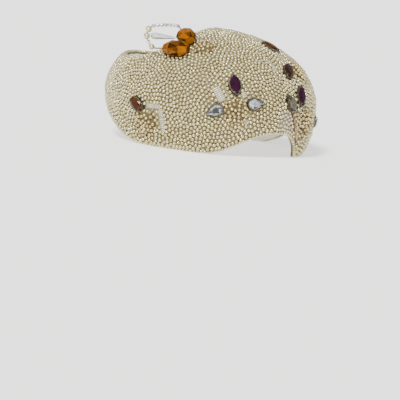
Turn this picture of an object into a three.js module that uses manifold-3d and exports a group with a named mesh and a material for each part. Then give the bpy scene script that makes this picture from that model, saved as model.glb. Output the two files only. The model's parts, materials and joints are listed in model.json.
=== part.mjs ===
// Beaded headdress cap: a stiff hollow cap with flower motifs of set stones, bead mounds and amber beads.
// Millimetres, +Z up. The wearer's front is -Y and the wearer's right is -X. It stands on z = 0.
import * as THREE from "three";
import { mergeVertices } from "three/addons/utils/BufferGeometryUtils.js";
import { ConvexGeometry } from "three/addons/geometries/ConvexGeometry.js";
import { ParametricGeometry } from "three/addons/geometries/ParametricGeometry.js";
import Module from "manifold-3d";

const wasm = await Module();
wasm.setup();

// Cap: an egg-shaped dome, widest at the equator and drawn in a little towards the rim
const CAP = {
  halfWidth: 80,
  halfLength: 90,
  equator: 39,
  rise: 58,
  tuckIn: 0.08,
  wall: 2.5,
  ribs: 80,
  steps: 12,
  frontBias: 24,
};

// Lower rim: height in mm at each angle in degrees from the centre front, the same on both sides
const RIM = [
  { angle: 0, height: 0 },
  { angle: 5, height: 0 },
  { angle: 8, height: 2 },
  { angle: 11, height: 6.8 },
  { angle: 15, height: 13 },
  { angle: 20, height: 18.6 },
  { angle: 26, height: 21.3 },
  { angle: 32, height: 21.8 },
  { angle: 38, height: 20.8 },
  { angle: 44, height: 18.3 },
  { angle: 50, height: 14 },
  { angle: 56, height: 9.3 },
  { angle: 64, height: 3.6 },
  { angle: 72, height: 0.6 },
  { angle: 78, height: 0 },
  { angle: 103, height: 0 },
  { angle: 112, height: 0.6 },
  { angle: 119, height: 2.6 },
  { angle: 127, height: 7.5 },
  { angle: 134, height: 13 },
  { angle: 142, height: 20.5 },
  { angle: 150, height: 29 },
  { angle: 158, height: 37 },
  { angle: 167, height: 42 },
  { angle: 180, height: 44 },
];

// Edge of the open back crown in plan, against the rim angle that the same rib runs down to
const CROWN_EDGE = [
  { angle: 0, side: 0, back: 5 },
  { angle: 30, side: 16, back: 6 },
  { angle: 62, side: 31, back: 10 },
  { angle: 88, side: 45, back: 17 },
  { angle: 100, side: 51.5, back: 22.5 },
  { angle: 109, side: 54.8, back: 28 },
  { angle: 119, side: 55.8, back: 36.5 },
  { angle: 131, side: 52.5, back: 48.5 },
  { angle: 143, side: 44.5, back: 59 },
  { angle: 155, side: 32.5, back: 67.8 },
  { angle: 168, side: 17, back: 74.5 },
  { angle: 180, side: 0, back: 76.5 },
];

// Dents pressed into the wall: place, spread in degrees and mm, lean in degrees per mm, and depth
const DENTS = [
  { angle: 16.5, height: 27, across: 3, along: 11, lean: 0.35, depth: 1.8, paired: false },
  { angle: 140, height: 48, across: 22, along: 18, lean: 0, depth: 1.2, paired: true },
  { angle: 86, height: 30, across: 12, along: 20, lean: 0, depth: 1, paired: true },
];

// Bead mounds, the centres of the flowers
const CLUSTER = { edgeHeight: 1.4, shoulder: 0.62, shoulderHeight: 2.4, topHeight: 2.8, sides: 14 };
const CLUSTERS = [
  { flower: "ear", angle: 106.5, height: 19, radius: 9.4, paired: true },
  { flower: "temple", angle: 57.5, height: 37.5, radius: 8.8, paired: true },
  { flower: "crown", angle: 81.5, height: 84, radius: 8.4, paired: true },
  { flower: "brow", angle: 5, height: 30, radius: 10, paired: false },
  { flower: "forehead", angle: 0, height: 70.5, radius: 9.2, paired: false },
];

// Cut stones: share of the outline left at each level, and the levels over the setting's foot
const CUT = { table: 0.56, crown: 0.84, culet: 0.2, sides: 10 };
const LEVEL = { culet: 0.9, girdle: 2.6, girdleTop: 3, crown: 4, table: 4.6 };
const NAVETTE = { shape: "navette", length: 16.5, width: 9 };
const DROP = { shape: "drop", length: 13.5, width: 9.4 };
const DROP_SWELL = { power: 0.9, share: 1.18 };
const STONES = [
  { name: "ear_navette", ...NAVETTE, angle: 112.8, height: 33, spin: 60, colour: "brown", paired: true },
  { name: "temple_navette", ...NAVETTE, angle: 58.8, height: 58, spin: 12, colour: "purple", paired: true },
  { name: "temple_back_drop", ...DROP, angle: 68.8, height: 36.5, spin: 120, colour: "clear", paired: true },
  { name: "temple_front_drop", ...DROP, angle: 47, height: 44.7, spin: -84, colour: "clear", paired: true },
  { name: "brow_navette", ...NAVETTE, angle: 13.5, height: 52, spin: -12, colour: "purple", paired: false },
  { name: "brow_right_drop", ...DROP, angle: 23.6, height: 47, spin: 30, colour: "clear", paired: false },
  { name: "brow_left_drop", ...DROP, angle: -12.5, height: 30, spin: -86, colour: "clear", paired: false },
  { name: "forehead_navette", ...NAVETTE, angle: 5, height: 87, spin: 0, colour: "brown", paired: false },
  {
    name: "forehead_side_navette",
    ...NAVETTE,
    angle: 16.5,
    height: 70.5,
    spin: -40,
    colour: "smoke",
    paired: false,
  },
];

// Settings: a foot that follows the stone's outline, and claws that grip the crown
const SETTING = { lip: 0.7, height: 2.9, gap: 0.3, claw: 1.1, clawHeight: 3.9 };
const CLAW_TURNS = [0.2, 0.8, 1.2, 1.8];
const SEAT_GAP = 0.3;

// Amber beads: faceted drums that lie on the cap beside the right crown flower
const AMBER = { facets: 8, endShare: 0.52, beltShare: 0.42 };
const UPPER_AMBER = { length: 18, width: 16, depth: 12.5 };
const LOWER_AMBER = { length: 22, width: 15.5, depth: 12 };
const AMBERS = [
  { name: "amber_upper", ...UPPER_AMBER, angle: 99, height: 86.2, spin: 48, lift: 6.5 },
  { name: "amber_lower", ...LOWER_AMBER, angle: 98.8, height: 77.1, spin: 96, lift: 6.25 },
];

// Standing loop: beads along a wire that runs backward from the upper amber bead, in an upright plane
// that is turned out a little, and comes home to the lower amber bead
const LOOP = { side: 49.4, back: 10.6, height: 91, turn: 20, wire: 0.6, wireSteps: 28, beadSides: 10 };
const LOOP_BEADS = [
  { back: 5.7, up: 9, out: 0, radius: 1.75 },
  { back: 9.1, up: 9, out: 0, radius: 1.75 },
  { back: 12.4, up: 8.8, out: 0, radius: 1.75 },
  { back: 15.7, up: 8.5, out: 0, radius: 1.75 },
  { back: 19, up: 8.1, out: 0, radius: 1.75 },
  { back: 22.3, up: 7.6, out: 0, radius: 1.75 },
  { back: 25.6, up: 6.8, out: 0, radius: 1.75 },
  { back: 29.5, up: 3.7, out: 0.4, radius: 2.7 },
  { back: 30.5, up: -2, out: 1.2, radius: 2.7 },
  { back: 28.6, up: -6.4, out: 2.6, radius: 1.75 },
  { back: 25.4, up: -10.3, out: 5, radius: 2.4 },
];
const LOOP_START = { back: 3, up: 6.4, out: 0 };
const LOOP_FINISH = { back: 16.1, up: -10.4, out: 9.7 };
const CRYSTAL_DROP = { fromBack: 6.8, toBack: 27.4, up: -1.4, radius: 2.9, neck: 0.9, sides: 10 };

const COLOURS = {
  cap: { color: 0xd9cfae, roughness: 0.55, metalness: 0 },
  gold: { color: 0xb08a4a, roughness: 0.35, metalness: 0.6 },
  metal: { color: 0x6f6a5e, roughness: 0.35, metalness: 0.9 },
  brown: { color: 0x5a2c12, roughness: 0.08, metalness: 0 },
  purple: { color: 0x3a1836, roughness: 0.08, metalness: 0 },
  smoke: { color: 0x2c211c, roughness: 0.08, metalness: 0 },
  clear: { color: 0xd7dde2, roughness: 0.05, metalness: 0 },
  amber: { color: 0xa8560a, roughness: 0.08, metalness: 0 },
};

// Meshes and solids

function mesh(name, geometry, colour) {
  const made = new THREE.Mesh(geometry, new THREE.MeshStandardMaterial(COLOURS[colour]));
  made.name = name;
  return made;
}

function solidOf(geometry) {
  const bare = geometry.clone();
  bare.deleteAttribute("normal");
  bare.deleteAttribute("uv");
  const merged = mergeVertices(bare, 1e-4);
  return new wasm.Manifold(
    new wasm.Mesh({
      numProp: 3,
      vertProperties: merged.attributes.position.array,
      triVerts: new Uint32Array(merged.index.array),
    }),
  );
}

function geometryOf(solid) {
  const found = solid.getMesh();
  const geometry = new THREE.BufferGeometry();
  geometry.setAttribute("position", new THREE.BufferAttribute(found.vertProperties, 3));
  geometry.setIndex(new THREE.BufferAttribute(found.triVerts, 1));
  geometry.computeVertexNormals();
  return geometry;
}

// Smooth value of one column of a table at an angle, level at both ends
function lookUp(table, column, angle) {
  const last = table.length - 1;
  const found = table.findIndex((row) => row.angle >= angle);
  const next = Math.min(Math.max(found < 0 ? last : found, 1), last);
  const [from, to] = [table[next - 1], table[next]];
  const slope = (at) => {
    if (at === 0 || at === last) return 0;
    const [low, here, high] = [table[at - 1], table[at], table[at + 1]];
    const before = (here[column] - low[column]) / (here.angle - low.angle);
    const after = (high[column] - here[column]) / (high.angle - here.angle);
    return before * after <= 0 ? 0 : (2 * before * after) / (before + after);
  };
  const span = to.angle - from.angle;
  const t = (angle - from.angle) / span;
  const rise = to[column] - from[column];
  const [a, b] = [slope(next - 1) * span - rise, rise - slope(next) * span];
  return from[column] + t * rise + t * (1 - t) * (a * (1 - t) + b * t);
}

// The dome's surface

const { degToRad, radToDeg } = THREE.MathUtils;

function radiusShare(height) {
  const above = (height - CAP.equator) / CAP.rise;
  const below = (CAP.equator - height) / CAP.equator;
  return above > 0 ? Math.sqrt(Math.max(0, 1 - above ** 2)) : 1 - CAP.tuckIn * below ** 3;
}

function domePoint(angle, height) {
  const share = radiusShare(height);
  const turn = degToRad(angle);
  const x = -CAP.halfWidth * share * Math.sin(turn);
  const y = -CAP.halfLength * share * Math.cos(turn);
  return new THREE.Vector3(x, y, height);
}

function domeNormal(point) {
  const above = (point.z - CAP.equator) / CAP.rise;
  const below = (CAP.equator - point.z) / CAP.equator;
  const lowSlope = (-3 * CAP.tuckIn * below ** 2 * radiusShare(point.z)) / CAP.equator;
  const upward = above > 0 ? above / CAP.rise : lowSlope;
  return new THREE.Vector3(
    point.x / CAP.halfWidth ** 2,
    point.y / CAP.halfLength ** 2,
    upward,
  ).normalize();
}

function dentDepth(angle, height) {
  return DENTS.flatMap(sidesOf).reduce((depth, dent) => {
    const across = (angle - dent.angle - dent.lean * (height - dent.height)) / dent.across;
    const along = (height - dent.height) / dent.along;
    return depth + dent.depth * Math.exp(-(across ** 2) - along ** 2);
  }, 0);
}

// The cap: ribs fan out from the edge of the crown opening to the lower rim, closer at the front

// A point of the dome as a direction on a round ball, on which the ribs are great circles
function ballDirection(point) {
  const up = (point.z - CAP.equator) / CAP.rise;
  const flat = new THREE.Vector2(point.x / CAP.halfWidth, point.y / CAP.halfLength).normalize();
  const out = Math.sqrt(Math.max(0, 1 - up ** 2));
  return new THREE.Vector3(flat.x * out, flat.y * out, up);
}

function crownEdgePoint(angle) {
  const size = Math.abs(angle);
  const x = -Math.sign(angle) * lookUp(CROWN_EDGE, "side", size);
  const y = lookUp(CROWN_EDGE, "back", size);
  const share = Math.hypot(x / CAP.halfWidth, y / CAP.halfLength);
  return new THREE.Vector3(x, y, CAP.equator + CAP.rise * Math.sqrt(1 - share ** 2));
}

function ribPoint(angle, along) {
  const from = ballDirection(crownEdgePoint(angle));
  const rimHeight = lookUp(RIM, "height", Math.abs(angle));
  const to = ballDirection(domePoint(angle, rimHeight));
  const sweep = from.angleTo(to);
  const direction = from
    .multiplyScalar(Math.sin((1 - along) * sweep))
    .addScaledVector(to, Math.sin(along * sweep))
    .divideScalar(Math.sin(sweep));
  const height = along === 1 ? rimHeight : CAP.equator + CAP.rise * direction.z;
  return domePoint(radToDeg(Math.atan2(-direction.x, -direction.y)), height);
}

// Outer or inner face of the wall: at the rim the wall ends level, so that it can stand
function wallPoint(angle, along, depth) {
  const point = ribPoint(angle, along);
  const normal = domeNormal(point);
  const dent = dentDepth(radToDeg(Math.atan2(-point.x, -point.y)), point.z);
  if (along === 1) normal.setZ(0).normalize();
  return point.addScaledVector(normal, -depth - dent);
}

function makeCap() {
  const { ribs, steps, wall, frontBias } = CAP;
  const stacks = 2 * steps + 2;
  const section = (u, v, target) => {
    const at = Math.round(v * stacks) % stacks;
    const even = (Math.round(u * ribs) % ribs) * (360 / ribs) - 180;
    const angle = even - frontBias * Math.sin(degToRad(even));
    const outer = at <= steps;
    const along = outer ? at / steps : 1 - (at - steps - 1) / steps;
    target.copy(wallPoint(angle, along, outer ? 0 : wall));
  };
  return mesh("cap", new ParametricGeometry(section, ribs, stacks), "cap");
}

// Seats on the dome: x runs across to the right as seen from outside, y up the slope, z outward

function seat(angle, height, spin, lift) {
  const foot = domePoint(angle, height);
  const out = domeNormal(foot);
  const upSlope = new THREE.Vector3(0, 0, 1).addScaledVector(out, -out.z).normalize();
  const across = new THREE.Vector3().crossVectors(upSlope, out);
  const group = new THREE.Group();
  group.setRotationFromMatrix(new THREE.Matrix4().makeBasis(across, upSlope, out));
  group.rotateZ(degToRad(spin));
  const dent = dentDepth(angle, height);
  group.position.copy(foot).addScaledVector(out, lift - dent);
  return group;
}

// The sides on which a motif stands, with its mirrored angle and spin
function sidesOf(row) {
  if (!row.paired) return [{ ...row, suffix: "" }];
  const left = { ...row, angle: -row.angle, spin: -(row.spin ?? 0), suffix: "_left" };
  return [{ ...row, suffix: "_right" }, left];
}

// Bead mounds

function makeCluster(row) {
  const { edgeHeight, shoulder, shoulderHeight, topHeight, sides } = CLUSTER;
  const profile = [
    new THREE.Vector2(0, 0),
    new THREE.Vector2(row.radius, 0),
    new THREE.Vector2(row.radius, edgeHeight),
    new THREE.Vector2(row.radius * shoulder, shoulderHeight),
    new THREE.Vector2(0, topHeight),
  ];
  const geometry = new THREE.LatheGeometry(profile, sides).rotateX(Math.PI / 2);
  const group = seat(row.angle, row.height, 0, SEAT_GAP);
  group.add(mesh(`${row.flower}_cluster${row.suffix}`, geometry, "gold"));
  return group;
}

// Cut stones and their settings

// One point of a stone's outline: a pointed oval, or a drop with its point up
function outlinePoint(shape, length, width, turn) {
  const y = (length / 2) * Math.cos(turn);
  if (shape === "drop") {
    const swell = DROP_SWELL.share * Math.abs(Math.sin(turn / 2)) ** DROP_SWELL.power;
    return new THREE.Vector2((width / 2) * Math.sin(turn) * swell, y);
  }
  const radius = (length ** 2 + width ** 2) / (4 * width);
  const x = Math.sqrt(radius ** 2 - y ** 2) - radius + width / 2;
  return new THREE.Vector2(Math.sign(Math.sin(turn)) * x, y);
}

function outline(row, grow, share, halfStep) {
  const [length, width] = [row.length + 2 * grow, row.width + 2 * grow];
  const step = (2 * Math.PI) / CUT.sides;
  return Array.from({ length: CUT.sides }, (_, i) =>
    outlinePoint(row.shape, length, width, (i + halfStep) * step).multiplyScalar(share),
  );
}

function stoneGeometry(row, grow) {
  const rings = [
    { share: CUT.culet, level: LEVEL.culet - grow, halfStep: 0 },
    { share: 1, level: LEVEL.girdle - grow / 2, halfStep: 0 },
    { share: 1, level: LEVEL.girdleTop + grow / 2, halfStep: 0 },
    { share: CUT.crown, level: LEVEL.crown + grow, halfStep: 0.5 },
    { share: CUT.table, level: LEVEL.table + grow, halfStep: 0 },
  ];
  const points = rings.flatMap((ring) =>
    outline(row, grow, ring.share, ring.halfStep).map((p) => new THREE.Vector3(p.x, p.y, ring.level)),
  );
  return new ConvexGeometry(points);
}

function settingGeometry(row) {
  const foot = new THREE.Shape(outline(row, SETTING.lip + SETTING.gap, 1, 0));
  let metal = solidOf(new THREE.ExtrudeGeometry(foot, { depth: SETTING.height, bevelEnabled: false }));
  for (const turn of CLAW_TURNS) {
    const grip = outlinePoint(row.shape, row.length, row.width, turn * Math.PI);
    const claw = new THREE.BoxGeometry(SETTING.claw, SETTING.claw, SETTING.clawHeight);
    claw.rotateZ(Math.atan2(grip.y, grip.x)).translate(grip.x, grip.y, SETTING.clawHeight / 2);
    metal = metal.add(solidOf(claw));
  }
  return geometryOf(metal.subtract(solidOf(stoneGeometry(row, SETTING.gap))));
}

function makeSetStone(row) {
  const group = seat(row.angle, row.height, row.spin, SEAT_GAP);
  group.add(mesh(`${row.name}_setting${row.suffix}`, settingGeometry(row), "metal"));
  group.add(mesh(`${row.name}_stone${row.suffix}`, stoneGeometry(row, 0), row.colour));
  return group;
}

// Amber beads: a belt of facets between two small end faces

function makeAmber(row) {
  const { facets, endShare, beltShare } = AMBER;
  const rings = [
    { at: -1, share: endShare, halfStep: 0 },
    { at: -beltShare, share: 1, halfStep: 0.5 },
    { at: beltShare, share: 1, halfStep: 0 },
    { at: 1, share: endShare, halfStep: 0.5 },
  ];
  const points = rings.flatMap(({ at, share, halfStep }) =>
    Array.from({ length: facets }, (_, i) => {
      const turn = ((i + halfStep) * 2 * Math.PI) / facets;
      const x = (share * row.width * Math.cos(turn)) / 2;
      const z = (share * row.depth * Math.sin(turn)) / 2;
      return new THREE.Vector3(x, (at * row.length) / 2, z);
    }),
  );
  const group = seat(row.angle, row.height, row.spin, row.lift);
  group.add(mesh(row.name, new ConvexGeometry(points), "amber"));
  return group;
}

// Standing loop of beads, and the long crystal drop inside it

function loopPoint({ back, up, out }) {
  return new THREE.Vector3(-out, back, up);
}

function makeLoop() {
  const stops = [LOOP_START, ...LOOP_BEADS, LOOP_FINISH].map(loopPoint);
  const round = Array.from({ length: 6 }, (_, i) => {
    const turn = (i * Math.PI) / 3;
    return new THREE.Vector2(LOOP.wire * Math.cos(turn), LOOP.wire * Math.sin(turn));
  });
  const wire = new THREE.ExtrudeGeometry(new THREE.Shape(round), {
    steps: LOOP.wireSteps,
    extrudePath: new THREE.CatmullRomCurve3(stops),
  });
  const strung = LOOP_BEADS.reduce((joined, bead) => {
    const { x, y, z } = loopPoint(bead);
    const ball = new THREE.SphereGeometry(bead.radius, LOOP.beadSides, LOOP.beadSides / 2);
    return joined.add(solidOf(ball.translate(x, y, z)));
  }, solidOf(wire));
  return mesh("bead_loop", geometryOf(strung), "clear");
}

function makeCrystalDrop() {
  const { fromBack, toBack, up, radius, neck, sides } = CRYSTAL_DROP;
  const length = toBack - fromBack;
  const profile = [
    new THREE.Vector2(0, 0),
    new THREE.Vector2(neck, 0),
    new THREE.Vector2(radius, length - 1.6 * radius),
    new THREE.Vector2(radius * 0.92, length - 0.7 * radius),
    new THREE.Vector2(radius * 0.5, length),
    new THREE.Vector2(0, length),
  ];
  const drop = mesh("crystal_drop", new THREE.LatheGeometry(profile, sides), "clear");
  drop.position.set(0, fromBack, up);
  return drop;
}

function makeLoopGroup() {
  const group = new THREE.Group();
  group.position.set(-LOOP.side, LOOP.back, LOOP.height);
  group.rotation.z = degToRad(LOOP.turn);
  group.add(makeLoop(), makeCrystalDrop());
  return group;
}

// The whole headdress, moved so that the middle of its box's foot is the origin

const headdress = new THREE.Group();
headdress.name = "beaded_headdress";
headdress.add(makeCap());
for (const row of CLUSTERS.flatMap(sidesOf)) headdress.add(makeCluster(row));
for (const row of STONES.flatMap(sidesOf)) headdress.add(makeSetStone(row));
for (const row of AMBERS) headdress.add(makeAmber(row));
headdress.add(makeLoopGroup());
const middle = new THREE.Box3().setFromObject(headdress, true).getCenter(new THREE.Vector3());
headdress.position.set(-middle.x, -middle.y, 0);

export default headdress;
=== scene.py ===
import itertools
import json
import math
from collections import namedtuple

import bpy
import numpy as np
from bpy.props import FloatProperty, FloatVectorProperty, IntProperty, PointerProperty
from mathutils import Matrix, Vector
from mathutils.bvhtree import BVHTree
from mathutils.kdtree import KDTree


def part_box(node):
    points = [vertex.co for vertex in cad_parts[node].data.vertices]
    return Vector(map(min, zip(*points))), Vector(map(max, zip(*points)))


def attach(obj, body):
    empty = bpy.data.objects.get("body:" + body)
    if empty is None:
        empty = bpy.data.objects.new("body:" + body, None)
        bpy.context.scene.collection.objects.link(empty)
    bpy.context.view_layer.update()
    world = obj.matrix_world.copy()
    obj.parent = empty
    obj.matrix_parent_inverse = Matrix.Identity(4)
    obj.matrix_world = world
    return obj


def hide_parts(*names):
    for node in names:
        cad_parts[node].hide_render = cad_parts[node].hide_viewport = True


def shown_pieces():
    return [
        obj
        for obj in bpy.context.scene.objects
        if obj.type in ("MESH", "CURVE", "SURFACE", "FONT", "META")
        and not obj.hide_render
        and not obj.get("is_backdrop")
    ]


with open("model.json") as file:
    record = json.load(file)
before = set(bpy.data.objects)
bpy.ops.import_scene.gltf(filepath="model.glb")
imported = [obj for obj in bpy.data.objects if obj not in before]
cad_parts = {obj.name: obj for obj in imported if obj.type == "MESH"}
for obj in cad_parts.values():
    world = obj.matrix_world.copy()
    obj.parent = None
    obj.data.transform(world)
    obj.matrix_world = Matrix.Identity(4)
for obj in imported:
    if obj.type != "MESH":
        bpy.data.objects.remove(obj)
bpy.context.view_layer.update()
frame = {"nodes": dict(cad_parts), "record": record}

bl_info = {
    "name": "Beaded headdress cap",
    "version": (1, 0, 0),
    "blender": (4, 5, 0),
    "location": "3D View > Sidebar > Headdress",
    "description": "Dresses the packed headdress cap with its pearls, beads, stones and a studio",
    "category": "Object",
}

# Places on the cap are an angle in degrees from the centre front, plus to the wearer's right, and a
# height in mm. The cap's outline in plan is an ellipse about an upright axis, and the first mount, under
# the right lobe, is level with that axis.
AXIS = Vector((0.0, frame["record"]["mounts"][0]["pos_m"][1], 0.0))
MIDDLE = AXIS + Vector((0.0, 0.0, 0.03))
PLAN = (0.080, 0.090)
MM = 0.001

# The cap's wall: how squarely its outer and inner faces look away from and towards the middle, the
# least angle of a sharp edge, and the distance within which corners are one point
FACING = 0.6
SHARP = math.radians(50.0)
WELD = 1e-6

# Spreading of beads: places tried, rounds of settling, the share of each push that is taken, and the
# distances kept from other pieces in radii and from the floor
FIELD_TRIES = 90000
MOUND_TRIES = 6000
SETTLE_ROUNDS = 30
PUSH_SHARE = 0.12
PEARL_CLEARANCE = 0.8
BUGLE_CLEARANCE = 1.1
FLOOR_GAP = 0.05 * MM

# Gold beads: the range of their sizes, and how far round a mound's side they go
GOLD_SIZES = (0.92, 1.06)
MOUND_FACING = -0.1

# Cut glass: the step to which a facet's direction is rounded, and the facet's share of the painted shade
FACET_STEP = 0.07
FACET_SHARE = 0.7

# Rows of bugle beads: the row runs from one place to another and its beads lie side by side across it
Row = namedtuple("Row", "angle height to_angle to_height length")
BUGLE_ROWS = (
    Row(108.5, 33.0, 99.0, 34.0, 4.2),
    Row(98.2, 31.5, 95.6, 14.5, 3.6),
    Row(69.2, 54.5, 64.8, 44.0, 6.4),
    Row(54.8, 55.0, 53.2, 50.0, 4.0),
    Row(53.6, 32.5, 50.6, 29.0, 4.4),
    Row(24.0, 68.5, 18.0, 62.5, 5.0),
    Row(28.0, 79.0, 27.0, 71.0, 3.2),
    Row(76.0, 89.0, 74.5, 80.5, 3.6),
)

# The bare crease beside the brow flower: where it is across at a height, how that leans, and how
# wide its bare cloth and its dark line of painted shade are as shares of the half width that is kept free
# of pearls
Crease = namedtuple("Crease", "side height lean low high half_width")
CREASE = Crease(-22.6, 27.0, -0.48, 12.0, 42.0, 2.3)
BARE_SHARE = 1.5
LINE_SHARE = 0.45

# Clear beads between the notch and the crease, as limits of angle and height
Patch = namedtuple("Patch", "angle to_angle height to_height")
CLEAR_PATCH = Patch(19.0, 30.0, 22.0, 40.0)

# Standing loop: its foot, its turn about the upright axis, and its stops from end to end
LOOP_FOOT = Vector((-49.4, AXIS.y / MM + 10.6, 91.0))
LOOP_TURN = math.radians(20.0)
LOOP_WIRE = 0.6
LOOP_TONE = 0.85
Stop = namedtuple("Stop", "kind back up out radius")
LOOP_STOPS = (
    Stop("end", 3.0, 6.4, 0.0, 0.0),
    Stop("crystal", 5.7, 9.0, 0.0, 1.75),
    Stop("crystal", 9.1, 9.0, 0.0, 1.75),
    Stop("crystal", 12.4, 8.8, 0.0, 1.75),
    Stop("crystal", 15.7, 8.5, 0.0, 1.75),
    Stop("crystal", 19.0, 8.1, 0.0, 1.75),
    Stop("crystal", 22.3, 7.6, 0.0, 1.75),
    Stop("crystal", 25.6, 6.8, 0.0, 1.75),
    Stop("pearl", 29.5, 3.7, 0.4, 2.7),
    Stop("pearl", 30.5, -2.0, 1.2, 2.7),
    Stop("crystal", 28.6, -6.4, 2.6, 1.75),
    Stop("gold", 25.4, -10.3, 5.0, 2.4),
    Stop("end", 16.1, -10.4, 9.7, 0.0),
)

# Glass of each stone and bead, by its node's name without side and _stone
STONE_GLASS = {
    "ear_navette": "brown",
    "forehead_navette": "brown",
    "temple_navette": "purple",
    "brow_navette": "purple",
    "forehead_side_navette": "smoke",
    "temple_back_drop": "clear",
    "temple_front_drop": "clear",
    # This clear drop gets a darkened glass: painted shade
    "brow_right_drop": "painted_shade_clear",
    "brow_left_drop": "clear",
    "amber_upper": "amber",
    "amber_lower": "amber",
    "crystal_drop": "crystal",
}


# Settings

def length(name, description, metres):
    return FloatProperty(
        name=name, description=description, default=metres, precision=5, unit="LENGTH", subtype="DISTANCE"
    )


def colour(name, description, rgb):
    return FloatVectorProperty(
        name=name, description=description, default=rgb, size=3, min=0.0, max=1.0, subtype="COLOR"
    )


def angle(name, description, degrees):
    return FloatProperty(
        name=name, description=description, default=math.radians(degrees), unit="ROTATION", subtype="ANGLE"
    )


def amount(name, description, value):
    return FloatProperty(name=name, description=description, default=value, subtype="FACTOR")


def strength(name, description, value):
    return FloatProperty(name=name, description=description, default=value, min=0.0)


class ClothSettings(bpy.types.PropertyGroup):
    """Colours of the stiffened cap under the beads."""

    ground: colour("Ground", "Net that shows between the pearls", (0.36, 0.30, 0.15))
    bare: colour("Bare strip", "Cloth left bare beside the crease", (0.50, 0.36, 0.25))
    # The crease's dark line is painted shade in its dent
    crease: colour("Crease", "Dark line of the crease", (0.10, 0.05, 0.03))
    lining: colour("Lining", "Cloth inside the cap", (0.72, 0.69, 0.62))
    # Cloth of the cap's edge faces, made dark as painted shade of the rim's underside rather than a binding
    edge: colour("Edge", "Binding along the rim", (0.075, 0.060, 0.022))


class PearlSettings(bpy.types.PropertyGroup):
    """Sizes and colours of the pearls."""

    diameter: length("Diameter", "Usual pearl", 0.0030)
    spacing: length("Spacing", "Least distance between two pearls before they settle", 0.00238)
    reach: length("Reach", "Distance within which pearls push each other apart", 0.0039)
    pitch: length("Edge pitch", "Distance between pearls along the edges", 0.0030)
    variety: amount("Variety", "Share by which pearls differ in size", 0.08)
    unevenness: amount("Unevenness", "Share of the radius by which pearls differ in height", 0.16)
    sink: amount("Sink", "Share of a pearl's radius that is sunk in the cloth", 0.22)
    edge_sink: amount("Edge sink", "Share of an edge pearl's radius that is sunk in the cloth", 0.6)
    edge_inset: amount("Edge inset", "Share of the radius by which edge pearls stand in from the edge", 0.3)
    seed: IntProperty(name="Seed", description="Start of the random numbers", default=11)
    light: colour("Light", "Palest pearls", (0.64, 0.565, 0.325))
    dark: colour("Dark", "Darkest pearls", (0.40, 0.34, 0.165))


class GoldSettings(bpy.types.PropertyGroup):
    """Sizes and colours of the gold beads."""

    diameter: length("Diameter", "Gold bead", 0.0028)
    spacing: length("Spacing", "Least distance between two gold beads", 0.0027)
    sink: amount("Sink", "Share of a bead's radius that is sunk in its mound", 0.5)
    spill: length("Spill", "How far single gold beads stray from a mound", 0.0045)
    share: amount("Stray share", "Share of the pearls near a mound that are gold beads", 0.4)
    seed: IntProperty(name="Seed", description="Start of the random numbers", default=5)
    light: colour("Light", "Brightest gold", (0.66, 0.54, 0.27))
    dark: colour("Dark", "Darkest gold", (0.34, 0.255, 0.10))
    ground: colour("Ground", "Cloth between the gold beads", (0.062, 0.043, 0.014))


class BugleSettings(bpy.types.PropertyGroup):
    """Size and colours of the bugle beads."""

    diameter: length("Diameter", "Bugle bead", 0.0016)
    pitch: length("Pitch", "Distance between bugle beads side by side", 0.00165)
    rise: amount("Rise", "Share of the radius by which a bead's middle stands off the cloth", 0.8)
    seed: IntProperty(name="Seed", description="Start of the random numbers", default=3)
    light: colour("Light", "Palest bugle beads", (0.54, 0.50, 0.38))
    dark: colour("Dark", "Darkest bugle beads", (0.36, 0.31, 0.21))


class GlassSettings(bpy.types.PropertyGroup):
    """Colours of the stones, the crystals and their metal."""

    brown: colour("Brown", "Red-brown stones", (0.075, 0.020, 0.003))
    purple: colour("Purple", "Dark purple stones", (0.026, 0.002, 0.022))
    smoke: colour("Smoke", "Dark brown stones", (0.025, 0.008, 0.003))
    clear: colour("Clear", "Crystals of the loop and the drop inside it", (0.84, 0.85, 0.83))
    # A clear stone coloured dark as painted shade
    painted_shade_clear: colour("Dusk", "Clear stone that stands in shade beside the brow", (0.13, 0.11, 0.075))
    seed: colour("Seed", "Clear seed beads by the notch", (0.70, 0.64, 0.47))
    drop: colour("Drop", "Clear drop stones", (0.54, 0.56, 0.56))
    amber: colour("Amber", "Amber beads", (0.27, 0.085, 0.0008))
    # Painted shade on the dark facets of coloured glass, standing in for dark reflections
    shade: colour("Shade", "Dark reflections in coloured glass", (0.012, 0.003, 0.002))
    metal: colour("Metal", "Claw settings", (0.20, 0.18, 0.14))
    tarnish: colour("Tarnish", "Dark parts of the claw settings", (0.05, 0.042, 0.03))


class StageSettings(bpy.types.PropertyGroup):
    """Floor, lights and camera."""

    floor: colour("Floor", "Plain pale floor", (0.88, 0.88, 0.87))
    reach: length("Floor reach", "Middle of the floor to its sides", 12.0)
    sky: strength("Sky", "Strength of the light from all round", 0.75)
    key: strength("Key", "Strength of the main light", 5.4)
    fill: strength("Fill", "Strength of the light from the other side", 0.15)
    key_azimuth: angle("Key azimuth", "Main light's turn round the object", 270.0)
    key_elevation: angle("Key elevation", "Main light's height over the horizon", 46.0)
    key_spread: angle("Key spread", "How soft the main light is", 14.0)
    fill_azimuth: angle("Fill azimuth", "Other light's turn round the object", 340.0)
    fill_elevation: angle("Fill elevation", "Other light's height over the horizon", 35.0)
    fill_spread: angle("Fill spread", "How soft the light from the other side is", 60.0)
    azimuth: angle("Azimuth", "Camera's turn round the object", 290.0)
    elevation: angle("Elevation", "Camera's height over the horizon", 5.0)
    roll: angle("Roll", "Camera's turn about its own line of sight", 6.0)
    distance: length("Distance", "Camera to the middle of the cap", 1.6)
    height: length("Height", "Height of the middle of the cap", 0.045)
    aim_side: length("Aim to the side", "How far the camera aims beside the middle", -0.009)
    aim_up: length("Aim up", "How far the camera aims above the middle", -0.0935)
    lens: FloatProperty(name="Lens", description="Focal length in mm", default=167.8, unit="CAMERA")


# Materials

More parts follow.
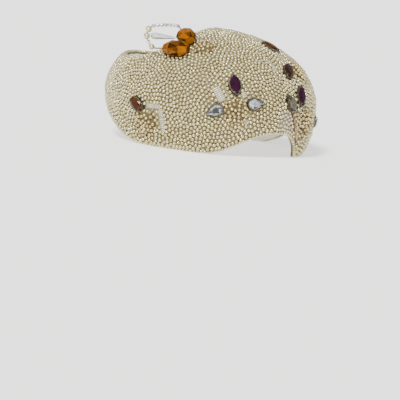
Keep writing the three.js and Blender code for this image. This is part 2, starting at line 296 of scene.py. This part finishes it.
class Value:
    """A shader socket that makes a Math node when it meets a number or another socket."""

    def __init__(self, shader, socket):
        self.shader = shader
        self.socket = socket

    def math(self, operation, *operands):
        return self.shader.node("ShaderNodeMath", {"operation": operation}, dict(enumerate(operands)))

    def __add__(self, other):
        return self.math("ADD", self, other)

    def __radd__(self, other):
        return self.math("ADD", other, self)

    def __sub__(self, other):
        return self.math("SUBTRACT", self, other)

    def __rsub__(self, other):
        return self.math("SUBTRACT", other, self)

    def __mul__(self, other):
        return self.math("MULTIPLY", self, other)

    def __rmul__(self, other):
        return self.math("MULTIPLY", other, self)

    def __abs__(self):
        return self.math("ABSOLUTE", self)

    def __lt__(self, other):
        return self.math("LESS_THAN", self, other)

    def __gt__(self, other):
        return self.math("GREATER_THAN", self, other)


class Shader:
    """One node material: its constants are set at once and its varying inputs are fed."""

    def __init__(self, name, constants):
        self.material = bpy.data.materials.new(name)
        self.material.use_nodes = True
        self.tree = self.material.node_tree
        self.principled = self.tree.nodes["Principled BSDF"]
        for key, value in constants.items():
            self.feed(key, value)

    def node(self, kind, settings=None, sockets=None, output=0):
        made = self.tree.nodes.new(kind)
        for key, value in (settings or {}).items():
            setattr(made, key, value)
        for key, value in (sockets or {}).items():
            self.connect(made.inputs[key], value)
        return Value(self, made.outputs[output])

    def connect(self, socket, value):
        if isinstance(value, Value):
            self.tree.links.new(value.socket, socket)
        else:
            socket.default_value = value

    def feed(self, name, value):
        self.connect(self.principled.inputs[name], value)

    def mix(self, factor, first, second):
        """A blend of two colours, by the numbers of the sockets that a Mix node uses for colours."""
        colours = [c if isinstance(c, Value) else (*c, 1.0) for c in (first, second)]
        sockets = {0: factor, 6: colours[0], 7: colours[1]}
        return self.node("ShaderNodeMix", {"data_type": "RGBA"}, sockets, output=2)

    def tone(self):
        return self.node("ShaderNodeAttribute", {"attribute_name": "tone"}, output="Fac")

    def place(self):
        return self.node("ShaderNodeTexCoord", output="Object")

    def axes(self):
        place = self.place()
        return [self.node("ShaderNodeSeparateXYZ", sockets={0: place}, output=k) for k in range(3)]

    def noise(self, scale, detail=2.0):
        sockets = {"Vector": self.place(), "Scale": scale, "Detail": detail}
        return self.node("ShaderNodeTexNoise", sockets=sockets)

    def facets(self, scale):
        """A random value for each facet, broken up by small cells as its back facets show through."""
        normal = self.node("ShaderNodeNewGeometry", output="True Normal")
        steps = (FACET_STEP, FACET_STEP, FACET_STEP)
        rounded = self.node("ShaderNodeVectorMath", {"operation": "SNAP"}, {0: normal, 1: steps})
        facet = self.node("ShaderNodeTexWhiteNoise", sockets={"Vector": rounded})
        sockets = {"Vector": self.place(), "Scale": scale}
        cell = self.node("ShaderNodeTexVoronoi", sockets=sockets, output="Color")
        # The value picks where cut glass gets its painted reflections and painted shade
        return FACET_SHARE * facet + (1.0 - FACET_SHARE) * cell

    def bump(self, height, strength, distance):
        sockets = {"Height": height, "Strength": strength, "Distance": distance}
        self.feed("Normal", self.node("ShaderNodeBump", sockets=sockets))


def pearl_shader(settings):
    shader = Shader("pearl", {"Coat Weight": 0.6, "Coat Roughness": 0.1, "IOR": 1.5})
    tone = shader.tone()
    shader.feed("Base Color", shader.mix(tone, settings.dark, settings.light))
    shader.feed("Metallic", 0.5 + 0.2 * tone)
    shader.feed("Roughness", 0.28 - 0.1 * tone)
    return shader.material


def gold_shader(settings):
    shader = Shader("gold_bead", {"Coat Weight": 0.4, "Coat Roughness": 0.1})
    tone = shader.tone()
    shader.feed("Base Color", shader.mix(tone, settings.dark, settings.light))
    shader.feed("Metallic", 0.45 + 0.3 * tone)
    shader.feed("Roughness", 0.38 - 0.14 * tone)
    return shader.material


def bugle_shader(settings):
    shader = Shader("bugle_bead", {"Coat Weight": 0.6, "Coat Roughness": 0.08})
    tone = shader.tone()
    shader.feed("Base Color", shader.mix(tone, settings.dark, settings.light))
    shader.feed("Roughness", 0.26 - 0.12 * tone)
    return shader.material


def cloth_shader(name, base, other, scale):
    shader = Shader(name, {"Roughness": 0.85})
    weave = shader.noise(scale)
    shader.feed("Base Color", shader.mix(weave, base, other))
    shader.bump(weave, 0.3, 0.0004)
    return shader.material


def ground_shader(settings):
    shader = Shader("cap_net", {"Roughness": 0.8})
    weave = shader.noise(900.0)
    side, back, up = shader.axes()
    lean = CREASE.lean * (up - CREASE.height * MM) + CREASE.side * MM
    off = abs(side - lean)
    level = (up > CREASE.low * MM) * (up < CREASE.high * MM) * (back < 0.0)
    strip = level * (off < BARE_SHARE * CREASE.half_width * MM)
    # This mask marks the crease's dark line of painted shade
    line = level * (off < LINE_SHARE * CREASE.half_width * MM)
    darker = [0.6 * c for c in settings.ground]
    net = shader.mix(weave, darker, settings.ground)
    bare = shader.mix(strip, net, settings.bare)
    shader.feed("Base Color", shader.mix(line, bare, settings.crease))
    shader.bump(weave, 0.4, 0.0004)
    return shader.material


def mound_shader(settings):
    lighter = [2.0 * c for c in settings.ground]
    return cloth_shader("gold_ground", settings.ground, lighter, 700.0)


def glass_shader(name, base, shade, scale=360.0, clearness=0.0, gloss=0.12):
    constants = {"IOR": 1.5, "Specular IOR Level": gloss, "Transmission Weight": clearness}
    shader = Shader(name, constants)
    facet = shader.facets(scale)
    # Base colour runs from the glass's own colour to a painted shade on dark facets: painted reflections of
    # cut glass
    shader.feed("Base Color", shader.mix(2.2 * facet - 0.6, base, shade))
    shader.feed("Roughness", 0.04 + 0.08 * facet)
    return shader.material


def clear_shader(name, base, clearness, facet_shade_share):
    # Dark facets of clear glass get a painted shade, a share of the base colour
    painted_facet_shade = [facet_shade_share * c for c in base]
    return glass_shader(name, base, painted_facet_shade, scale=420.0, clearness=clearness, gloss=0.25)


def metal_shader(settings):
    shader = Shader("setting_metal", {"Metallic": 0.9})
    wear = shader.noise(420.0, 3.0)
    shader.feed("Base Color", shader.mix(wear, settings.tarnish, settings.metal))
    shader.feed("Roughness", 0.5 - 0.3 * wear)
    return shader.material


# Shapes from arrays

def turned(profile, sides):
    """Points and triangles of a closed shape turned about z, from its top point to its bottom point."""
    turns = np.arange(sides) * (2 * math.pi / sides)
    around = np.column_stack((np.cos(turns), np.sin(turns)))
    rings = [np.column_stack((radius * around, np.full(sides, level))) for radius, level in profile[1:-1]]
    points = np.vstack(([(0, 0, profile[0][1])], *rings, [(0, 0, profile[-1][1])]))
    here = np.arange(sides)
    after = (here + 1) % sides
    triangles = [np.column_stack((np.zeros(sides, int), 1 + here, 1 + after))]
    for ring in range(len(rings) - 1):
        upper = 1 + ring * sides
        lower = upper + sides
        triangles.append(np.column_stack((upper + here, lower + here, lower + after)))
        triangles.append(np.column_stack((upper + here, lower + after, upper + after)))
    foot = 1 + (len(rings) - 1) * sides
    triangles.append(np.column_stack((foot + here, np.full(sides, len(points) - 1), foot + after)))
    return points, np.vstack(triangles)


def ball(sides, rings):
    levels = [math.pi * k / rings for k in range(rings + 1)]
    return turned([(math.sin(level), math.cos(level)) for level in levels], sides)


BALL = ball(12, 6)
FINE_BALL = ball(24, 14)
BUGLE = turned([(0, 1), (0.7, 1), (1, 0.9), (1, -0.9), (0.7, -1), (0, -1)], 10)
CRYSTAL = turned([(0, 1), (0.45, 1), (1, 0.25), (1, -0.25), (0.45, -1), (0, -1)], 8)


def dress(node, material):
    node.data.materials.clear()
    node.data.materials.append(material)


def ride(made):
    bpy.context.scene.collection.objects.link(made)
    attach(made, "root")
    return made


def piece(name, template, places, frames, tones, material, smooth=True):
    """One mesh of a template put at each place, turned and sized by its frame, with a tone each."""
    shape, faces = template
    count = len(places)
    points = np.asarray(places)[:, None, :] + np.einsum("nij,pj->npi", np.asarray(frames), shape)
    corners = faces[None, :, :] + (np.arange(count) * len(shape))[:, None, None]
    mesh = bpy.data.meshes.new(name)
    mesh.vertices.add(count * len(shape))
    mesh.vertices.foreach_set("co", points.astype(np.float32).ravel())
    mesh.loops.add(corners.size)
    mesh.loops.foreach_set("vertex_index", corners.astype(np.int32).ravel())
    mesh.polygons.add(count * len(faces))
    mesh.polygons.foreach_set("loop_start", np.arange(0, corners.size, 3, dtype=np.int32))
    mesh.polygons.foreach_set("use_smooth", np.full(count * len(faces), smooth))
    attribute = mesh.attributes.new("tone", "FLOAT", "POINT")
    attribute.data.foreach_set("value", np.repeat(tones, len(shape)).astype(np.float32))
    mesh.update(calc_edges=True)
    mesh.materials.append(material)
    return ride(bpy.data.objects.new(name, mesh))


def round_frames(radii):
    return np.asarray(radii)[:, None, None] * np.eye(3)[None]


def long_frame(along, out, half_length, radius):
    """Frame of a bead whose z lies along a direction, with its radius across."""
    axis = along.normalized()
    across = axis.cross(out).normalized()
    rise = across.cross(axis)
    columns = (radius * across, radius * rise, half_length * axis)
    return np.array(columns).T


# The cap's outer face

def corners_of(node):
    """Corner points of a mesh's triangles."""
    mesh = node.data
    mesh.calc_loop_triangles()
    points = np.zeros(3 * len(mesh.vertices), np.float32)
    mesh.vertices.foreach_get("co", points)
    triangles = np.zeros(3 * len(mesh.loop_triangles), np.int32)
    mesh.loop_triangles.foreach_get("vertices", triangles)
    return points.reshape(-1, 3).astype(float)[triangles.reshape(-1, 3)]


def welded(corners):
    """Shared points of triangles, and each triangle's three numbers among them."""
    flat = corners.reshape(-1, 3)
    keys = np.round(flat / WELD).astype(np.int64)
    first, indices = np.unique(keys, axis=0, return_index=True, return_inverse=True)[1:]
    return flat[first], indices.reshape(-1, 3)


def normals_of(corners):
    """Unit normals and doubled areas of triangles."""
    cross = np.cross(corners[:, 1] - corners[:, 0], corners[:, 2] - corners[:, 0])
    size = np.linalg.norm(cross, axis=1)
    return cross / np.maximum(size, 1e-15)[:, None], size


def facing_of(corners):
    """How squarely each triangle faces away from the middle of the cap: 1 outside, -1 inside."""
    away = corners.mean(axis=1) - np.array(MIDDLE)
    away /= np.linalg.norm(away, axis=1)[:, None]
    return (normals_of(corners)[0] * away).sum(axis=1)


class Shell:
    """The cap's outer face: its triangles, a search tree and the loops of its edges."""

    def __init__(self):
        every = corners_of(frame["nodes"]["cap"])
        self.corners = every[facing_of(every) > FACING]
        self.points, self.indices = welded(self.corners)
        self.tree = BVHTree.FromPolygons(self.points.tolist(), self.indices.tolist())

    def seat(self, degrees, height):
        """Point and normal of the outer face at an angle and a height in mm."""
        turn = math.radians(degrees)
        out = Vector((-PLAN[0] * math.sin(turn), -PLAN[1] * math.cos(turn), 0.0))
        start = AXIS + 2.0 * out + Vector((0.0, 0.0, height * MM))
        point, normal, _, _ = self.tree.ray_cast(start, -out)
        if point is None:
            raise RuntimeError(f"the cap has no outer face at {degrees} degrees and {height} mm")
        return point, normal

    def edges(self):
        """Closed loops of points along the outer face's edges, the face to their left."""
        sides = {(a, b) for row in self.indices.tolist() for a, b in zip(row, row[1:] + row[:1])}
        following = {a: b for a, b in sides if (b, a) not in sides}
        loops = []
        while following:
            at = min(following)
            loop = []
            while at in following:
                loop.append(self.points[at])
                at = following.pop(at)
            loops.append(np.array(loop))
        return loops


def evenly(loop, pitch):
    """Points spaced alike along a closed loop, near the pitch."""
    closed = np.vstack((loop, loop[:1]))
    run = np.concatenate(([0.0], np.cumsum(np.linalg.norm(np.diff(closed, axis=0), axis=1))))
    stops = np.linspace(0.0, run[-1], round(run[-1] / pitch), endpoint=False)
    return np.column_stack([np.interp(stops, run, closed[:, k]) for k in range(3)])


def tree_of(pieces):
    corners = np.vstack([corners_of(made) for made in pieces])
    triangles = np.arange(3 * len(corners)).reshape(-1, 3)
    return BVHTree.FromPolygons(corners.reshape(-1, 3).tolist(), triangles.tolist())


def scatter(corners, spacing, tries, rng, free):
    """Random points on triangles with their normals, none nearer to another than the spacing."""
    normals, size = normals_of(corners)
    pick = rng.choice(len(corners), tries, p=size / size.sum())
    u, v = rng.random((2, tries))
    u, v = np.where(u + v > 1, 1 - u, u), np.where(u + v > 1, 1 - v, v)
    a, b, c = corners[pick].transpose(1, 0, 2)
    points = a + u[:, None] * (b - a) + v[:, None] * (c - a)
    cells = {}
    kept = []
    near = list(itertools.product((-1, 0, 1), repeat=3))
    for at, cell in enumerate(np.floor(points / spacing).astype(int).tolist()):
        point = points[at].tolist()
        around = (cells.get((cell[0] + i, cell[1] + j, cell[2] + k), ()) for i, j, k in near)
        if any(math.dist(point, other) < spacing for others in around for other in others):
            continue
        if free(Vector(point), Vector(normals[pick[at]])):
            cells.setdefault(tuple(cell), []).append(point)
            kept.append(at)
    return [Vector(points[at]) for at in kept], [Vector(normals[pick[at]]) for at in kept]


def settle(shell, points, normals, reach, free):
    """Lets points push their neighbours apart along the shell, which evens them out."""
    for _ in range(SETTLE_ROUNDS):
        tree = KDTree(len(points))
        for at, point in enumerate(points):
            tree.insert(point, at)
        tree.balance()
        for at, point in enumerate(list(points)):
            push = Vector()
            for other, number, apart in tree.find_range(point, reach):
                if number != at and apart > 1e-9:
                    push += (point - other) * ((reach - apart) / apart)
            moved, normal, _, _ = shell.tree.find_nearest(point + PUSH_SHARE * push)
            if free(moved, normal):
                points[at] = moved
                normals[at] = normal
    return points, normals


def place_of(point):
    """Angle in degrees and height in mm of a point of the cap."""
    across = -(point.x - AXIS.x) / PLAN[0]
    forward = -(point.y - AXIS.y) / PLAN[1]
    return math.degrees(math.atan2(across, forward)), point.z / MM


def in_patch(point):
    """Whether a point of the cap lies among the clear beads."""
    degrees, height = place_of(point)
    beside = CLEAR_PATCH.angle < degrees < CLEAR_PATCH.to_angle
    return beside and CLEAR_PATCH.height < height < CLEAR_PATCH.to_height


def on_crease(point):
    height = point.z / MM
    if point.y > 0 or not CREASE.low < height < CREASE.high:
        return False
    return abs(point.x / MM - CREASE.side - CREASE.lean * (height - CREASE.height)) < CREASE.half_width


def sit(point, normal, radius, sink):
    """Centre of a bead on the cap, kept off the floor."""
    centre = point + normal * radius * (1.0 - sink)
    return Vector((centre.x, centre.y, max(centre.z, radius + FLOOR_GAP)))


# Operators

class HEADDRESS_OT_ground(bpy.types.Operator):
    """Make the stiffened cap: net outside, plain lining inside, edges darkened with painted shade"""

    bl_idname = "headdress.ground"
    bl_label = "Cap ground"

    def execute(self, context):
        settings = context.scene.headdress_cloth
        corners = corners_of(frame["nodes"]["cap"])
        points, indices = welded(corners)
        mesh = bpy.data.meshes.new("cap_ground")
        mesh.from_pydata(points.tolist(), [], indices.tolist())
        facing = facing_of(corners)
        sides = np.where(facing > FACING, 0, np.where(facing < -FACING, 1, 2))
        mesh.polygons.foreach_set("material_index", sides.astype(np.int32))
        mesh.polygons.foreach_set("use_smooth", np.full(len(corners), True))
        mesh.set_sharp_from_angle(angle=SHARP)
        paler = [min(1.0, 1.15 * c) for c in settings.lining]
        # Edge faces: their cloth darkened with painted shade, with a lighter weave
        lighter = [1.6 * c for c in settings.edge]
        mesh.materials.append(ground_shader(settings))
        mesh.materials.append(cloth_shader("cap_lining", settings.lining, paler, 1200.0))
        mesh.materials.append(cloth_shader("cap_edge_painted_shade", settings.edge, lighter, 800.0))
        made = ride(bpy.data.objects.new("cap_ground", mesh))
        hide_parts("cap")
        return {"FINISHED"}


class HEADDRESS_OT_stones(bpy.types.Operator):
    """Give the cut stones, their settings, the amber beads and the crystal drop their materials"""

    bl_idname = "headdress.stones"
    bl_label = "Stones"

    def execute(self, context):
        settings = context.scene.headdress_glass
        metal = metal_shader(settings)
        # Painted shade of the amber's dark facets, a small share of its own colour
        amber_facet_shade = [0.12 * c for c in settings.amber]
        glass = {
            "brown": glass_shader("brown_glass", settings.brown, settings.shade),
            "purple": glass_shader("purple_glass", settings.purple, settings.shade),
            "smoke": glass_shader("smoke_glass", settings.smoke, settings.shade),
            "clear": clear_shader("clear_glass", settings.drop, clearness=0.3, facet_shade_share=0.06),
            # Clear glass darkened as painted shade for the drop beside the brow
            "painted_shade_clear": clear_shader("painted_shade_clear_glass", settings.painted_shade_clear, clearness=0.2, facet_shade_share=0.04),
            "amber": glass_shader(
                "amber_glass", settings.amber, amber_facet_shade, scale=260.0, clearness=0.2, gloss=0.03
            ),
            "crystal": clear_shader("crystal_glass", settings.clear, clearness=0.5, facet_shade_share=0.55),
        }
        for name, node in frame["nodes"].items():
            stem = name.removesuffix("_right").removesuffix("_left").removesuffix("_stone")
            if stem.endswith("_setting"):
                dress(node, metal)
            elif stem in STONE_GLASS:
                dress(node, glass[STONE_GLASS[stem]])
            elif "_stone" in name:
                raise RuntimeError(f"no glass is named for {name}")
        return {"FINISHED"}


class HEADDRESS_OT_gold(bpy.types.Operator):
    """Set the mounds of the flowers with gold beads"""

    bl_idname = "headdress.gold"
    bl_label = "Gold beads"

    def execute(self, context):
        settings = context.scene.headdress_gold
        shell = Shell()
        rng = np.random.default_rng(settings.seed)
        gold = gold_shader(settings)
        ground = mound_shader(settings)
        radius = settings.diameter / 2
        for name, node in sorted(frame["nodes"].items()):
            if "_cluster" not in name:
                continue
            dress(node, ground)
            corners = corners_of(node)
            middle = Vector(corners.reshape(-1, 3).mean(axis=0))
            out = np.array(shell.tree.find_nearest(middle)[1])
            upper = corners[normals_of(corners)[0] @ out > MOUND_FACING]
            points, normals = scatter(upper, settings.spacing, MOUND_TRIES, rng, lambda point, normal: True)
            places = [sit(p, n, radius, settings.sink) for p, n in zip(points, normals)]
            radii = radius * rng.uniform(*GOLD_SIZES, len(places))
            tones = rng.random(len(places))
            beads = name.replace("_cluster", "_gold_beads")
            piece(beads, BALL, places, round_frames(radii), tones, gold)
        return {"FINISHED"}


class HEADDRESS_OT_bugles(bpy.types.Operator):
    """Lay the rows of bugle beads beside the flowers"""

    bl_idname = "headdress.bugles"
    bl_label = "Bugle beads"

    def execute(self, context):
        settings = context.scene.headdress_bugles
        shell = Shell()
        radius = settings.diameter / 2
        solids = tree_of([node for name, node in frame["nodes"].items() if name != "cap"])
        places = []
        frames = []
        for row, side in itertools.product(BUGLE_ROWS, (1, -1)):
            start = shell.seat(side * row.angle, row.height)[0]
            run = shell.seat(side * row.to_angle, row.to_height)[0] - start
            count = round(run.length / settings.pitch) + 1
            half = row.length * MM / 2
            for share in np.linspace(0.0, 1.0, count):
                turn = side * (row.angle + share * (row.to_angle - row.angle))
                point, normal = shell.seat(turn, row.height + share * (row.to_height - row.height))
                along = normal.cross(run).normalized()
                centre = point + settings.rise * radius * normal
                ends = (centre, centre + half * along, centre - half * along)
                if all(solids.find_nearest(end)[3] > BUGLE_CLEARANCE * radius for end in ends):
                    places.append(centre)
                    frames.append(long_frame(along, normal, half, radius))
        tones = np.random.default_rng(settings.seed).random(len(places))
        piece("bugle_beads", BUGLE, places, frames, tones, bugle_shader(settings))
        return {"FINISHED"}


class HEADDRESS_OT_loop(bpy.types.Operator):
    """String the standing loop with its crystals, pearls and gold bead"""

    bl_idname = "headdress.loop"
    bl_label = "Bead loop"

    def execute(self, context):
        scene = context.scene
        spin = Matrix.Rotation(LOOP_TURN, 3, "Z")
        stops = [(LOOP_FOOT + spin @ Vector((-s.out, s.back, s.up))) * MM for s in LOOP_STOPS]
        wire = ride(bpy.data.objects.new("loop_wire", self.wire_mesh(context, stops)))
        dress(wire, metal_shader(scene.headdress_glass))
        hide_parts("bead_loop")
        glass = clear_shader("loop_glass", scene.headdress_glass.clear, clearness=0.25, facet_shade_share=0.3)
        kinds = {
            "crystal": (CRYSTAL, glass, "clear_glass", False),
            "pearl": (FINE_BALL, pearl_shader(scene.headdress_pearls), "pearls", True),
            "gold": (FINE_BALL, gold_shader(scene.headdress_gold), "gold_beads", True),
        }
        for kind, (template, material, slot, smooth) in kinds.items():
            at = [k for k, stop in enumerate(LOOP_STOPS) if stop.kind == kind]
            radii = [LOOP_STOPS[k].radius * MM for k in at]
            runs = [stops[k + 1] - stops[k - 1] for k in at]
            frames = [long_frame(run, Vector((1, 0, 0)), r, r) for run, r in zip(runs, radii)]
            places = [stops[k] for k in at]
            tones = np.full(len(at), LOOP_TONE)
            strung = piece(f"loop_{kind}_beads", template, places, frames, tones, material, smooth)
            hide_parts("bead_loop")
        return {"FINISHED"}

    def wire_mesh(self, context, stops):
        line = bpy.data.curves.new("loop_wire", "CURVE")
        line.dimensions = "3D"
        line.bevel_depth = LOOP_WIRE * MM
        line.use_fill_caps = True
        spline = line.splines.new("BEZIER")
        spline.bezier_points.add(len(stops) - 1)
        for knot, stop in zip(spline.bezier_points, stops):
            knot.co = stop
            knot.handle_left_type = "AUTO"
            knot.handle_right_type = "AUTO"
        drawn = bpy.data.objects.new("loop_line", line)
        context.scene.collection.objects.link(drawn)
        context.view_layer.update()
        mesh = bpy.data.meshes.new_from_object(drawn.evaluated_get(context.evaluated_depsgraph_get()))
        bpy.data.objects.remove(drawn)
        return mesh


class HEADDRESS_OT_edging(bpy.types.Operator):
    """Sew a row of pearls along the rim and along the edge of the open crown"""

    bl_idname = "headdress.edging"
    bl_label = "Edge pearls"

    def execute(self, context):
        settings = context.scene.headdress_pearls
        shell = Shell()
        material = pearl_shader(settings)
        radius = settings.diameter / 2
        loops = sorted(shell.edges(), key=lambda loop: loop[:, 2].mean())
        if len(loops) != 2:
            raise RuntimeError(f"the cap's outer face has {len(loops)} edges, not a rim and a crown edge")
        rng = np.random.default_rng(settings.seed)
        for name, loop in zip(("rim_pearls", "crown_edge_pearls"), loops):
            points = evenly(loop, settings.pitch)
            runs = np.roll(points, -1, axis=0) - np.roll(points, 1, axis=0)
            places = []
            for point, run in zip(points, runs):
                normal = shell.tree.find_nearest(point)[1]
                inward = normal.cross(Vector(run)).normalized()
                foot = Vector(point) + settings.edge_inset * radius * inward
                places.append(sit(foot, normal, radius, settings.edge_sink))
            frames = round_frames(np.full(len(places), radius))
            piece(name, BALL, places, frames, rng.random(len(places)), material)
        return {"FINISHED"}


class HEADDRESS_OT_pearls(bpy.types.Operator):
    """Sew pearls all over the cap, with stray gold beads by the flowers and clear beads by the notch"""

    bl_idname = "headdress.pearls"
    bl_label = "Pearls"

    def execute(self, context):
        settings = context.scene.headdress_pearls
        golds = context.scene.headdress_gold
        shell = Shell()
        rng = np.random.default_rng(settings.seed)
        radius = settings.diameter / 2
        solids = tree_of([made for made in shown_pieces() if made.name != "cap_ground"])

        def free(point, normal):
            centre = sit(point, normal, radius, settings.sink)
            return solids.find_nearest(centre)[3] > PEARL_CLEARANCE * radius and not on_crease(point)

        points, normals = scatter(shell.corners, settings.spacing, FIELD_TRIES, rng, free)
        points, normals = settle(shell, points, normals, settings.reach, free)
        groups = self.grouped(points, golds, rng)
        seeds = context.scene.headdress_glass.seed
        clear = clear_shader("clear_bead", seeds, clearness=0.1, facet_shade_share=0.7)
        # Material, slot and share of the usual pearl's size
        others = {
            "clear_beads": (clear, "clear_glass", 0.8),
            "stray_gold_beads": (gold_shader(golds), "gold_beads", 0.82),
        }
        pearl = (pearl_shader(settings), "pearls", 1.0)
        for name, members in sorted(groups.items()):
            material, slot, share = others.get(name, pearl)
            size = share * radius
            radii = size * rng.uniform(1.0 - settings.variety, 1.0 + settings.variety, len(members))
            sinks = settings.sink + settings.unevenness * rng.uniform(-1.0, 1.0, len(members))
            beads = zip(members, radii, sinks)
            places = [sit(points[at], normals[at], r, sink) for at, r, sink in beads]
            piece(name, BALL, places, round_frames(radii), rng.random(len(members)), material)
        return {"FINISHED"}

    def grouped(self, points, golds, rng):
        """Numbers of the points that go into each piece, by the piece's name."""
        boxes = [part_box(name) for name in frame["nodes"] if "_cluster" in name]
        mounds = [((low + high) / 2, max(high - low) / 2 + golds.spill) for low, high in boxes]
        groups = {}
        for at, point in enumerate(points):
            stray = any((point - middle).length < size for middle, size in mounds)
            if in_patch(point):
                name = "clear_beads"
            elif stray and rng.random() < golds.share:
                name = "stray_gold_beads"
            else:
                side = "right" if point.x < 0 else "left"
                name = f"pearls_{side}_{'front' if point.y < AXIS.y else 'back'}"
            groups.setdefault(name, []).append(at)
        return groups


class HEADDRESS_OT_stage(bpy.types.Operator):
    """Put the cap on a pale floor in soft light and set the camera"""

    bl_idname = "headdress.stage"
    bl_label = "Stage"

    def execute(self, context):
        scene = context.scene
        settings = scene.headdress_stage
        middle = AXIS + Vector((0.0, 0.0, settings.height))
        self.make_floor(scene, settings)
        self.make_sky(scene, settings)
        key = direction(settings.key_azimuth, settings.key_elevation)
        fill = direction(settings.fill_azimuth, settings.fill_elevation)
        self.make_light(scene, "key", key, settings.key_spread, settings.key)
        self.make_light(scene, "fill", fill, settings.fill_spread, settings.fill)
        self.make_camera(scene, settings, middle)
        return {"FINISHED"}

    def make_floor(self, scene, settings):
        reach = settings.reach
        corners = [(-reach, -reach, 0), (reach, -reach, 0), (reach, reach, 0), (-reach, reach, 0)]
        mesh = bpy.data.meshes.new("floor")
        mesh.from_pydata(corners, [], [(0, 1, 2, 3)])
        shader = Shader("floor", {"Roughness": 0.9, "Emission Strength": 0.9})
        darker = [0.97 * c for c in settings.floor]
        pale = shader.mix(shader.noise(6.0), settings.floor, darker)
        shader.feed("Base Color", pale)
        shader.feed("Emission Color", pale)
        mesh.materials.append(shader.material)
        floor = bpy.data.objects.new("floor", mesh)
        scene.collection.objects.link(floor)
        floor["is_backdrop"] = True

    def make_sky(self, scene, settings):
        scene.world = scene.world or bpy.data.worlds.new("studio")
        scene.world.use_nodes = True
        sky = scene.world.node_tree.nodes["Background"]
        sky.inputs["Color"].default_value = (1.0, 1.0, 1.0, 1.0)
        sky.inputs["Strength"].default_value = settings.sky

    def make_light(self, scene, name, away, spread, strength):
        light = bpy.data.lights.new(name, "SUN")
        light.angle = spread
        light.energy = strength
        made = bpy.data.objects.new(name, light)
        scene.collection.objects.link(made)
        made.location = away
        made.rotation_euler = (-away).to_track_quat("-Z", "Y").to_euler()

    def make_camera(self, scene, settings, middle):
        back = direction(settings.azimuth, settings.elevation)
        level = Vector((math.cos(settings.azimuth), math.sin(settings.azimuth), 0.0))
        upright = back.cross(level)
        right = math.cos(settings.roll) * level + math.sin(settings.roll) * upright
        up = math.cos(settings.roll) * upright - math.sin(settings.roll) * level
        eye = middle + settings.distance * back
        aim = middle + settings.aim_side * right + settings.aim_up * up
        z = (eye - aim).normalized()
        x = (right - right.dot(z) * z).normalized()
        lens = bpy.data.cameras.new("camera")
        lens.lens = settings.lens
        camera = bpy.data.objects.new("camera", lens)
        scene.collection.objects.link(camera)
        camera.matrix_world = Matrix.Translation(eye) @ Matrix((x, z.cross(x), z)).transposed().to_4x4()
        scene.camera = camera


def direction(azimuth, elevation):
    """Unit vector from the object towards an eye or a light."""
    flat = math.cos(elevation)
    return Vector((math.sin(azimuth) * flat, -math.cos(azimuth) * flat, math.sin(elevation)))


OPERATORS = (
    HEADDRESS_OT_ground,
    HEADDRESS_OT_stones,
    HEADDRESS_OT_gold,
    HEADDRESS_OT_bugles,
    HEADDRESS_OT_loop,
    HEADDRESS_OT_edging,
    HEADDRESS_OT_pearls,
    HEADDRESS_OT_stage,
)
SETTINGS = {
    "headdress_cloth": ClothSettings,
    "headdress_pearls": PearlSettings,
    "headdress_gold": GoldSettings,
    "headdress_bugles": BugleSettings,
    "headdress_glass": GlassSettings,
    "headdress_stage": StageSettings,
}


class HEADDRESS_PT_panel(bpy.types.Panel):
    """The headdress pieces, in the order in which they are made"""

    bl_label = "Headdress"
    bl_space_type = "VIEW_3D"
    bl_region_type = "UI"
    bl_category = "Headdress"

    def draw(self, context):
        for operator in OPERATORS:
            self.layout.operator(operator.bl_idname)
        for name in SETTINGS:
            group = getattr(context.scene, name)
            box = self.layout.box()
            for key in group.bl_rna.properties.keys():
                if key not in {"rna_type", "name"}:
                    box.prop(group, key)


CLASSES = (*SETTINGS.values(), *OPERATORS, HEADDRESS_PT_panel)


def register():
    for made in CLASSES:
        bpy.utils.register_class(made)
    for name, group in SETTINGS.items():
        setattr(bpy.types.Scene, name, PointerProperty(type=group))


def unregister():
    for name in SETTINGS:
        delattr(bpy.types.Scene, name)
    for made in reversed(CLASSES):
        bpy.utils.unregister_class(made)


def main():
    register()
    bpy.ops.headdress.ground()
    bpy.ops.headdress.stones()
    bpy.ops.headdress.gold()
    bpy.ops.headdress.bugles()
    bpy.ops.headdress.loop()
    bpy.ops.headdress.edging()
    bpy.ops.headdress.pearls()
    bpy.ops.headdress.stage()


if __name__ == "__main__":
    main()
